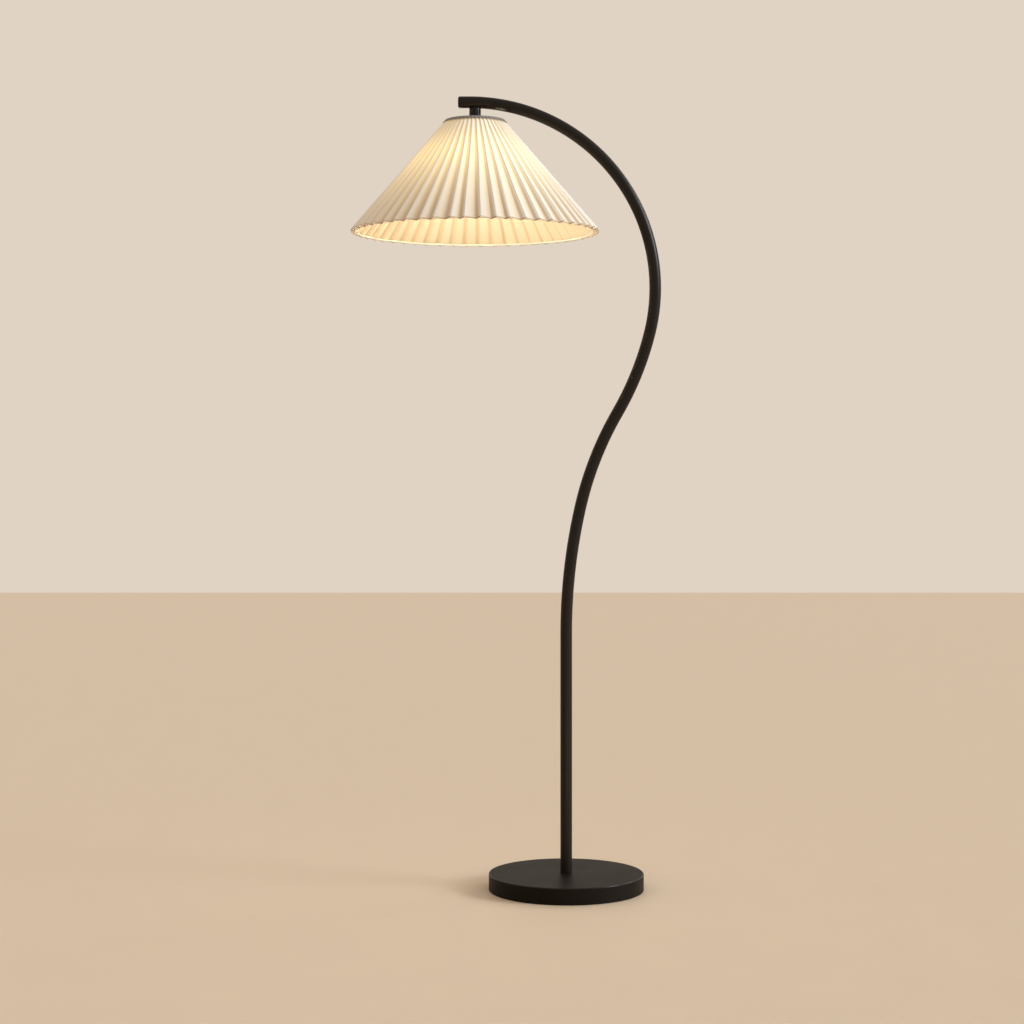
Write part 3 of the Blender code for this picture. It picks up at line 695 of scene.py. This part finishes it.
band_low, band_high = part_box("shade_top_band")
cone_slope = flare / rise
TAPE = 0.0007  # its thickness
RIPPLE = 0.00038  # half of what it moves in and out
LOW_EDGE_UP, TOP_EDGE_UP = 0.0029, 0.0024  # where it was glued, above the nominal place
COLUMN_WIDTH, ROW_WIDTH = 0.0006, 0.0003  # steps of the UV map, in metres
band_radius = band_high.x - LAMP_X - TAPE
tape_low, tape_top = band_low.z + LOW_EDGE_UP, band_high.z + TOP_EDGE_UP
strip = rounded([(0.0, tape_low), (TAPE, tape_low), (TAPE, tape_top), (0.0, tape_top)], 0.0003)
strip_radius = band_radius + strip[:, :1] - cone_slope * (strip[:, 1:] - band_low.z)
around = np.linspace(0, 2 * np.pi, PLEATS * 12, endpoint=False)[None, :]
ripple = RIPPLE * (np.cos(PLEATS * around) - 1)
grid = about_axis(around, strip_radius + ripple, strip[:, 1:])
tape = surface("top_tape", grid, wrap_rows=True, finish=woven_tape(),
               uv=(np.arange(around.size + 1) * COLUMN_WIDTH, np.arange(len(strip) + 1) * ROW_WIDTH))
replaced(tape, "shade", "shade_top_band")
print("tape:", len(tape.data.polygons), "faces")

# %% [markdown]
# ## The wire frame
# Two wire hoops hold the cloth, and three straight arms join the small plate at the lampholder to the
# upper hoop. Each hoop is one wire with its ends butt welded; the weld shows as a slight swelling.

# %% Hoops, arms and the fitter plate
WELD_HEIGHT, WELD_LENGTH = 0.0001, 0.0015
LAMP_AXIS = (LAMP_X, 0, 0)


def hoop(name, node):
    """A torus about the lamp's axis, thicker by h exp(-(d / l)^2) at a distance d from its weld."""
    low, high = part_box(node)
    wire = (high.z - low.z) / 2
    radius = high.x - LAMP_X - wire
    around = np.linspace(0, 2 * np.pi, 240, endpoint=False)
    section = np.linspace(0, 2 * np.pi, 14, endpoint=False)[:, None]
    away = np.abs((around - np.pi / 2 + np.pi) % (2 * np.pi) - np.pi) * radius
    size = wire * 0.96 + WELD_HEIGHT * np.exp(-(away / WELD_LENGTH) ** 2)
    grid = about_axis(around, radius + size * np.cos(section),
                      (low.z + high.z) / 2 + size * np.sin(section))
    replaced(surface(name, grid, wrap_rows=True, finish=WIRE_PAINT), "shade", node)
    return radius


top_hoop_radius = hoop("top_hoop", "shade_top_hoop")
rim_hoop_radius = hoop("rim_hoop", "shade_rim_hoop")
print("hoops:", round(top_hoop_radius, 4), round(rim_hoop_radius, 4), "m")

plate_low, plate_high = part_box("shade_fitter")
plate_reach, plate_hole = plate_high.x - LAMP_X, 0.0198
plate = rounded([(plate_hole, plate_low.z), (plate_reach, plate_low.z), (plate_reach, plate_high.z),
                 (plate_hole, plate_high.z)], 0.0004)
replaced(turned("fitter_plate", plate, ZINC, at=LAMP_AXIS, steps=120), "shade",
         "shade_fitter")

WIRE = 0.00148  # radius of an arm
wire_bottom = plate_high.z + 0.0018
hoop_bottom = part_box("shade_top_hoop")[0].z
arm_line = np.array([(0.0262, wire_bottom), (0.0300, wire_bottom + 0.0006),
                     (0.0330, wire_bottom + 0.0034), (top_hoop_radius - 0.0009, hoop_bottom - 0.0008)])
arm_curve = rounded(arm_line, 0.003, 5, closed=False)
for number in range(3):
    turn = math.radians(90 + 120 * number)
    outward = np.array([math.cos(turn), math.sin(turn), 0])
    path = np.array(LAMP_AXIS) + arm_curve[:, :1] * outward + arm_curve[:, 1:] * np.array([0, 0, 1])
    normal = np.array([-math.sin(turn), math.cos(turn), 0])
    arm = swept(f"frame_arm_{number + 1}", path, WIRE, normal, WIRE_PAINT)
    replaced(arm, "shade", f"shade_arm_{number + 1}")

# %% [markdown]
# ## The pipe
# The lamp's line comes from one pipe bent on a bender: a straight pole, a wide bend to the right, a
# return bend, and the big bow that carries the arm to the left. Each bend is a circular arc and leaves
# the one before it in the same direction. So the path needs only each bend's radius and angle.

# %% The pipe's path
tube_low, tube_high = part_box("stem_tube")
TUBE_RADIUS = tube_high.y
TUBE_WALL = 0.0015
STRAIGHT_TOP = 0.464  # where the straight pole ends
BENDS = ((1.020, -12.8), (0.616, -17.2), (0.560, 16.0), (0.3355, 104.0))  # radius, degrees
LEVEL_RUN = 0.0165  # straight end of the arm


def pipe_path(step):
    """Arcs in the XZ plane, a ring for each step of degrees: centre + R (sin h, -cos h).

    The heading h goes on from bend to bend.
    """
    here, heading = np.array([0.0, STRAIGHT_TOP]), math.pi / 2
    pieces = [np.array([(0.0, z) for z in np.linspace(tube_low.z, STRAIGHT_TOP, 12)])]
    for radius, degrees in BENDS:
        angle = math.radians(degrees)
        signed = math.copysign(radius, angle)
        centre = here + signed * np.array([-math.sin(heading), math.cos(heading)])
        headings = heading + np.linspace(0, angle, round(abs(degrees) / step) + 1)[1:]
        pieces.append(centre + signed * np.stack([np.sin(headings), -np.cos(headings)], -1))
        here, heading = pieces[-1][-1], heading + angle
    pieces.append((here + LEVEL_RUN * np.array([math.cos(heading), math.sin(heading)]))[None, :])
    flat = np.concatenate(pieces)
    return np.stack([flat[:, 0], 0 * flat[:, 0], flat[:, 1]], -1)


PIPE_PATH = pipe_path(step=1.0)
ARM_END = PIPE_PATH[-1]
ARM_Z = float(ARM_END[2])
print("pipe:", len(PIPE_PATH), "rings, arm at", round(ARM_Z, 4), "end at", round(float(ARM_END[0]), 4))

# %% [markdown]
# The wall of a pipe is a closed band of rings: outside from foot to arm, then back inside. A press-fit
# cap with a rounded edge closes the arm, and the powder coat fills its joint, so none shows.

# %% Pipe and its end cap
PIPE_SIDES = 88
normal = np.array([0.0, 1.0, 0.0])
side = np.cross(directions(PIPE_PATH), normal)
outside, inside = (rings(PIPE_PATH, side, normal, radius, PIPE_SIDES)
                   for radius in (TUBE_RADIUS, TUBE_RADIUS - TUBE_WALL))
pipe = surface("bent_pipe", np.concatenate([outside, inside[::-1]]), wrap_rows=True, finish=PIPE_COAT)
replaced(pipe, "stand", "stem_tube")

cap_length = float(ARM_END[0]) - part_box("arm_end_cap")[0].x
plug_radius = TUBE_RADIUS - TUBE_WALL - 0.0003
CAP_EDGE, PLUG_LENGTH = 0.0036, 0.008
cap_outline = np.concatenate([
    [(0.0, cap_length)], quarter(TUBE_RADIUS, cap_length, CAP_EDGE),
    [(TUBE_RADIUS, 0.0), (plug_radius, 0.0), (plug_radius, -PLUG_LENGTH), (0.0, -PLUG_LENGTH)]])
cap = turned("pipe_end", cap_outline, PIPE_COAT, at=(ARM_END[0], 0, ARM_Z), axis=(-1, 0, 0),
             steps=PIPE_SIDES, closed=False)
replaced(cap, "stand", "arm_end_cap")

# %% [markdown]
# ## The base
# A pressed steel cover sits over a cast iron weight. Its edge is rolled to a small radius, and that
# radius catches the thin line of light round the top. Its skirt nearly reaches the floor and hides the
# felt pad underneath. Behind, a rubber bush protects the flex where it leaves. The cover's hole for it
# is cut with a Boolean. The points on the rolled edge are marked after that, for the worn paint.

# %% Base cover, pad and bush
base_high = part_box("base_cover")[1]
BASE_RADIUS, BASE_TOP = base_high.x, base_high.z
COVER_WALL, COVER_EDGE = 0.0012, 0.0018  # sheet thickness, radius of the rolled edge
COVER_FOOT = 0.0004  # gap to the floor
ROD_HOLE = 0.0053  # radius of the hole for the threaded rod
skirt = [(BASE_RADIUS, z) for z in np.linspace(BASE_TOP - 0.004, COVER_FOOT + 0.0006, 9)]
lip = [(BASE_RADIUS - 0.0006, COVER_FOOT), (BASE_RADIUS - COVER_WALL, COVER_FOOT + 0.0004)]
crown = [(r, BASE_TOP) for r in np.linspace(ROD_HOLE, BASE_RADIUS - COVER_EDGE - 0.001, 7)]
under = [(BASE_RADIUS - COVER_WALL, BASE_TOP - COVER_WALL - 0.0004), (ROD_HOLE, BASE_TOP - COVER_WALL)]
rolled_edge = quarter(BASE_RADIUS, BASE_TOP, COVER_EDGE)
base_cover = turned("pressed_cover", np.concatenate([crown, rolled_edge, skirt, lip, under]), BASE_COAT,
                    steps=192)
bush_low, bush_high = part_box("cord_inlet_bush")
BUSH_HEIGHT = (bush_low.z + bush_high.z) / 2
cutter = turned("hole", [(0.0, -0.01), (0.0045, -0.01), (0.0045, 0.01), (0.0, 0.01)], None,
                at=(0, BASE_RADIUS, BUSH_HEIGHT), axis=(0, 1, 0), steps=32, closed=False)
hole = base_cover.modifiers.new("hole", 'BOOLEAN')
hole.object = cutter
graph = bpy.context.evaluated_depsgraph_get()
base_cover.data = bpy.data.meshes.new_from_object(base_cover.evaluated_get(graph), depsgraph=graph)
base_cover.modifiers.clear()
bpy.data.objects.remove(cutter)

points = np.empty(len(base_cover.data.vertices) * 3, np.float32)
base_cover.data.vertices.foreach_get("co", points)
points = points.reshape(-1, 3)
edge_radius = BASE_RADIUS - COVER_EDGE
off_axis = np.hypot(points[:, 0], points[:, 1])
off_corner = np.hypot(off_axis - edge_radius, points[:, 2] - BASE_TOP + COVER_EDGE)
on_edge = ((off_axis > edge_radius) & (points[:, 2] > BASE_TOP - COVER_EDGE)
           & (off_corner > COVER_EDGE * 0.9))
polish = base_cover.data.attributes.new("polish", 'FLOAT', 'POINT')
polish.data.foreach_set("value", on_edge.astype(np.float32))
replaced(base_cover, "stand", "base_cover")

pad_low, pad_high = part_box("base_pad")
pad_outline = rounded([(0.0, pad_low.z), (pad_high.x, pad_low.z), (pad_high.x, pad_high.z),
                       (0.0, pad_high.z)], (0, 0.0004, 0.0002, 0), closed=False)
pad = turned("felt_pad", pad_outline, FELT, steps=144, closed=False)
replaced(pad, "stand", "base_pad")

middle = BASE_RADIUS - COVER_WALL / 2
outer_face, inner_face = bush_high.y - middle, bush_low.y - middle
groove_out, groove_in = COVER_WALL / 2 + 0.0004, -COVER_WALL / 2 - 0.0003
bush_outline = rounded([
    (0.0030, outer_face), (0.0050, outer_face), (0.0061, outer_face - 0.0010), (0.0061, groove_out),
    (0.0041, groove_out), (0.0041, groove_in), (0.0055, groove_in), (0.0055, inner_face),
    (0.0030, inner_face)], 0.0004)
bush = turned("inlet_bush", bush_outline, RUBBER, at=(0, middle, BUSH_HEIGHT), axis=(0, 1, 0), steps=64)
replaced(bush, "stand", "cord_inlet_bush")
print("base:", len(base_cover.data.polygons), "faces, diameter", round(2 * BASE_RADIUS, 4))

# %% [markdown]
# ## The neck
# A short turned sleeve hides the threaded rod between the arm and the lampholder. Its top is coped: it
# is cut to the pipe's curve, so that it closes on it all round. At radius r and angle a, the pipe's
# surface lies the square root of R^2 - (r sin a)^2 below the pipe's axis. That is the height of the cut.
#
# The sleeve is straight, and only its last few millimetres curve in, by the square root of 1 - x^2, as
# on a ball. So the radius depends on the height, while the height of the cut depends on the radius.
# Each is worked out from the other, over and over, until both stand still.

# %% Neck with a coped top
neck_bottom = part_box("neck")[0].z
NECK_RADIUS, NECK_DOME = 0.0106, 0.0050
DOME_START = ARM_Z - TUBE_RADIUS - 0.0020
rows = np.array([(ROD_HOLE, 1.0)] + [(NECK_RADIUS, t) for t in np.linspace(1.0, 0.03, 26)]
                + [(NECK_RADIUS - 0.0001, 0.01), (NECK_RADIUS - 0.0005, 0.0), (ROD_HOLE, 0.0)])
angle = np.linspace(0, 2 * np.pi, 72, endpoint=False)[None, :]
radius, share = rows[:, :1] + 0 * angle, rows[:, 1:]
for _ in range(30):
    coped = ARM_Z - np.sqrt((TUBE_RADIUS + 0.0001) ** 2 - (radius * np.sin(angle)) ** 2)
    height = neck_bottom + (coped - neck_bottom) * share
    over = ((height - DOME_START) / NECK_DOME).clip(0, 0.98)
    domed = rows[:, :1] * np.sqrt(1 - over ** 2)
    radius = np.where(rows[:, :1] > NECK_RADIUS - 0.001, 0.5 * radius + 0.5 * domed, ROD_HOLE)
neck = surface("coped_neck", about_axis(angle, radius, height), wrap_rows=True, finish=GLOSS_BLACK)
replaced(neck, "stand", "neck")
print("neck:", round(float(coped.min()) - neck_bottom, 4), "to",
      round(float(coped.max()) - neck_bottom, 4))

# %% [markdown]
# ## The lampholder
# A cap, a body and a ring, all moulded. The body carries an outside thread, and the ring screws up it
# to clamp the shade's plate against the flange. A thread is a turned surface whose radius also depends
# on the angle: it follows a wave that climbs one pitch per turn.

# %% Lampholder cap, body and ring
FADE = 0.002  # a thread begins and ends over this length


def thread(depth, pitch, start, end, skin=None):
    """r minus depth times half of 1 - cos(2 pi h / pitch - a), faded in and out at the ends.

    With skin, only points at that radius move. Without it all do, as both skins of rolled sheet.
    """
    def shape(angle, radius, height):
        wave = 0.5 - 0.5 * np.cos(2 * np.pi * height / pitch - angle)
        fade = np.clip((height - start) / FADE, 0, 1) * np.clip((end - height) / FADE, 0, 1)
        moves = skin is None or np.abs(radius - skin) < 0.0002
        return radius - depth * wave * fade * moves
    return shape


def threaded_side(radius, start, end, pitch):
    """Points close enough to follow the thread, twelve to each pitch."""
    return [(radius, z) for z in np.linspace(start, end, int(abs(end - start) / pitch * 12))]


cap_box_low, cap_box_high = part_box("holder_cap")
top = cap_box_high.z
CAP_RADIUS = cap_box_high.x - LAMP_X
cap_outer = [(ROD_HOLE, top), (0.0098, top), (0.0106, top - 0.0010), (0.0112, top - 0.0050),
             (0.0150, top - 0.0095), (0.0184, top - 0.0135), (CAP_RADIUS, top - 0.0180),
             (CAP_RADIUS, cap_box_low.z), (CAP_RADIUS - 0.0018, cap_box_low.z),
             (CAP_RADIUS - 0.0018, top - 0.0180), (0.0168, top - 0.0142), (0.0138, top - 0.0106),
             (0.0094, top - 0.0054), (0.0088, top - 0.0020), (ROD_HOLE, top - 0.0020)]
softness = [0.0003, 0.0006, 0.0006, 0.002, 0.003, 0.003, 0.003, 0.0004, 0.0004] + [0.0005] * 6
holder_cap = turned("holder_dome", rounded(cap_outer, softness, 5), GLOSS_BLACK, at=LAMP_AXIS)
replaced(holder_cap, "stand", "holder_cap")

body_low, body_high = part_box("holder_body")
FLANGE_RADIUS = body_high.x - LAMP_X
FLANGE_TOP, FLANGE_LOW, BODY_RADIUS, BODY_BORE = 1.3470, 1.3446, 0.0192, 0.0156
SHELF_TOP, SHELF_LOW, SHELF_BORE = 1.3522, 1.3506, 0.0136  # it carries the insulator
BODY_PITCH, THREAD_DEPTH = 0.0020, 0.0006
thread_start, thread_end = body_low.z + 0.001, FLANGE_LOW - 0.0004
body_outline = ([(0.0172, body_high.z), (BODY_RADIUS - 0.0004, body_high.z - 0.0004),
                 (BODY_RADIUS, body_high.z - 0.0012), (BODY_RADIUS, FLANGE_TOP),
                 (FLANGE_RADIUS - 0.0004, FLANGE_TOP), (FLANGE_RADIUS, FLANGE_TOP - 0.0004),
                 (FLANGE_RADIUS, FLANGE_LOW + 0.0004), (FLANGE_RADIUS - 0.0004, FLANGE_LOW),
                 (BODY_RADIUS, FLANGE_LOW)]
                + threaded_side(BODY_RADIUS, thread_end, thread_start, BODY_PITCH)
                + [(BODY_RADIUS - 0.0002, body_low.z + 0.0003), (BODY_RADIUS - 0.0008, body_low.z),
                   (BODY_BORE, body_low.z), (BODY_BORE, SHELF_LOW), (SHELF_BORE, SHELF_LOW),
                   (SHELF_BORE, SHELF_TOP), (BODY_BORE, SHELF_TOP), (BODY_BORE, body_high.z)])
holder_body = turned("holder_body_threaded", body_outline, GLOSS_BLACK, at=LAMP_AXIS,
                     shape=thread(THREAD_DEPTH, BODY_PITCH, thread_start, thread_end, BODY_RADIUS))
replaced(holder_body, "stand", "holder_body")

RING_RADIUS, RING_FACE, RING_HOLE = ring_high.x - LAMP_X, 0.0258, 0.0195
RIBS, RIB_DEPTH = 30, 0.0007


def grip(angle, radius, height):
    """Finger ribs: the outer skin moves in by their depth times the square of cos(ribs a / 2)."""
    on_skin = radius > RING_RADIUS - 0.0004
    return radius - np.where(on_skin, RIB_DEPTH * np.cos(RIBS * angle / 2) ** 2, 0.0)


ring_outline = rounded([
    (RING_HOLE, ring_high.z), (RING_FACE, ring_high.z), (RING_RADIUS, ring_high.z - 0.0010),
    (RING_RADIUS, ring_low.z + 0.0010), (RING_FACE, ring_low.z), (RING_HOLE, ring_low.z)], 0.0004)
clamp_ring = turned("clamp_ring", ring_outline, GLOSS_BLACK, at=LAMP_AXIS, steps=RIBS * 12, shape=grip)
replaced(clamp_ring, "shade_ring", "shade_ring")
print("lampholder: ring with", RIBS, "ribs,", len(clamp_ring.data.polygons), "faces")

# %% [markdown]
# ## Screw shell and bulb
# The screw shell is rolled brass sheet, and the bulb's cap is rolled from nickel plated sheet with the
# same rounded thread, 3.6 mm to a turn. The globe is blown, so it is a circle that runs into the neck
# in an S-curve.

# %% Screw shell, bulb cap and globe
shell_low, shell_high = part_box("screw_shell")
SHELL_RADIUS = shell_high.x - LAMP_X
ROUND_THREAD = 0.0036
shell_outer = threaded_side(SHELL_RADIUS, shell_high.z, shell_low.z, ROUND_THREAD)
SHELL_SKIN = 0.00035
shell_inner = [(r - SHELL_SKIN, z) for r, z in reversed(shell_outer)]
shell = turned("screw_shell_rolled", shell_outer + shell_inner, BRASS, at=LAMP_AXIS, steps=72,
               shape=thread(0.00022, ROUND_THREAD, shell_low.z, shell_high.z))
replaced(shell, "stand", "screw_shell")

bulb_cap_low, bulb_cap_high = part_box("bulb_cap")
CAP_SKIN, CAP_THREAD, CAP_FOOT = 0.0004, 0.0131, 0.0134
thread_low, thread_high = bulb_cap_low.z + 0.0020, bulb_cap_high.z - 0.0022
cap_side = threaded_side(CAP_THREAD, thread_high, thread_low, ROUND_THREAD)
bulb_outline = ([(0.0100, bulb_cap_high.z), (0.0124, bulb_cap_high.z - 0.0008),
                 (0.0130, bulb_cap_high.z - 0.0016)] + cap_side
                + [(CAP_THREAD, bulb_cap_low.z + 0.0010), (CAP_FOOT, bulb_cap_low.z),
                   (CAP_FOOT - CAP_SKIN, bulb_cap_low.z),
                   (CAP_THREAD - CAP_SKIN, bulb_cap_low.z + 0.0010)]
                + [(r - CAP_SKIN, z) for r, z in reversed(cap_side)]
                + [(0.0124 - CAP_SKIN, bulb_cap_high.z - 0.0014), (0.0100, bulb_cap_high.z - CAP_SKIN)])
bulb_cap = turned("bulb_cap_rolled", bulb_outline, NICKEL, at=LAMP_AXIS, steps=72,
                  shape=thread(0.0007, ROUND_THREAD, thread_low, thread_high))
replaced(bulb_cap, "bulb", "bulb_cap")

GLOBE_RADIUS = globe_high.x - LAMP_X
GLOBE_NECK, GLASS = 0.0121, 0.0008  # neck radius, wall
shoulder = math.radians(40)  # where the S-curve meets the ball
neck_z = bulb_cap_low.z - 0.0040
t = np.linspace(0, 1, 14)[1:-1]
ease = t * t * (3 - 2 * t)
shoulder_r = GLOBE_RADIUS * math.cos(shoulder)
shoulder_z = BULB_HEIGHT + GLOBE_RADIUS * math.sin(shoulder)
blown = np.stack([GLOBE_NECK + (shoulder_r - GLOBE_NECK) * (0.35 * t + 0.65 * ease),
                  neck_z + (shoulder_z - neck_z) * t], -1)
turn = np.linspace(shoulder, -np.pi / 2, 34)
ball = np.stack([GLOBE_RADIUS * np.cos(turn), BULB_HEIGHT + GLOBE_RADIUS * np.sin(turn)], -1)
ball[-1, 0] = 0.0
glass_out = np.concatenate([[(GLOBE_NECK, globe_high.z), (GLOBE_NECK, neck_z)], blown, ball])
glass_in = glass_out[::-1] - np.stack([np.minimum(glass_out[::-1, 0], GLASS), 0 * glass_out[:, 0]], -1)
glass_in[:, 1] += np.where(glass_in[:, 1] < BULB_HEIGHT, GLASS, 0.0)
globe = turned("opal_globe", np.concatenate([glass_in, glass_out]), LIT_OPAL, at=LAMP_AXIS, steps=72,
               closed=False)
replaced(globe, "bulb", "bulb_globe")
print("bulb:", round(2 * GLOBE_RADIUS, 4), "m across,", len(globe.data.polygons), "faces")

# %% [markdown]
# ## Hardware
# The parts inside the base, the pipe and the lampholder keep their solids, which are exact. Each gets
# its real finish.

# %% Finishes of the kept solids
KEPT = {
    ZINC: ("bottom_plate", "plate_screw_1", "plate_screw_2", "plate_screw_3", "rod_washer",
           "spring_washer", "rod_nut", "base_rod", "stem_foot_insert", "arm_insert", "neck_rod",
           "neck_rod_nut"),
    CAST_IRON: ("base_weight",),
    NYLON: ("terminal_block",),
    BRASS: ("terminal_sleeve_1", "terminal_sleeve_2", "terminal_sleeve_3", "holder_terminal_screw_1",
            "holder_terminal_screw_2", "centre_contact"),
    FLEX_SHEATH: ("inner_flex",),
    STEATITE: ("holder_insulator",),
    GLOSS_BLACK: ("bulb_insulator",),
    NICKEL: ("bulb_contact",),
}
for finish, names in KEPT.items():
    for name in names:
        nodes[name].data.materials[0] = finish
print("kept solids:", sum(len(names) for names in KEPT.values()))

# %% [markdown]
# ## The floor
# The stage is one large pale plane, level with the felt pad. Its slight mottle keeps it from looking
# like paper.

# %% Floor
REACH = 9.0
floor_mesh = bpy.data.meshes.new("floor")
floor_mesh.from_pydata([(-REACH, -REACH, 0), (REACH, -REACH, 0), (REACH, REACH, 0), (-REACH, REACH, 0)],
                       [], [(0, 1, 2, 3)])
floor_mesh.materials.append(mottled("floor_paint", (0.565, 0.455, 0.345), (0.595, 0.48, 0.365), 0.6,
                                    scale=9, bump=0.0))
floor = bpy.data.objects.new("floor", floor_mesh)
scene.collection.objects.link(floor)

# %% [markdown]
# ## Finish
# The last cell brings the scene up to date.

# %% The end
bpy.context.view_layer.update()
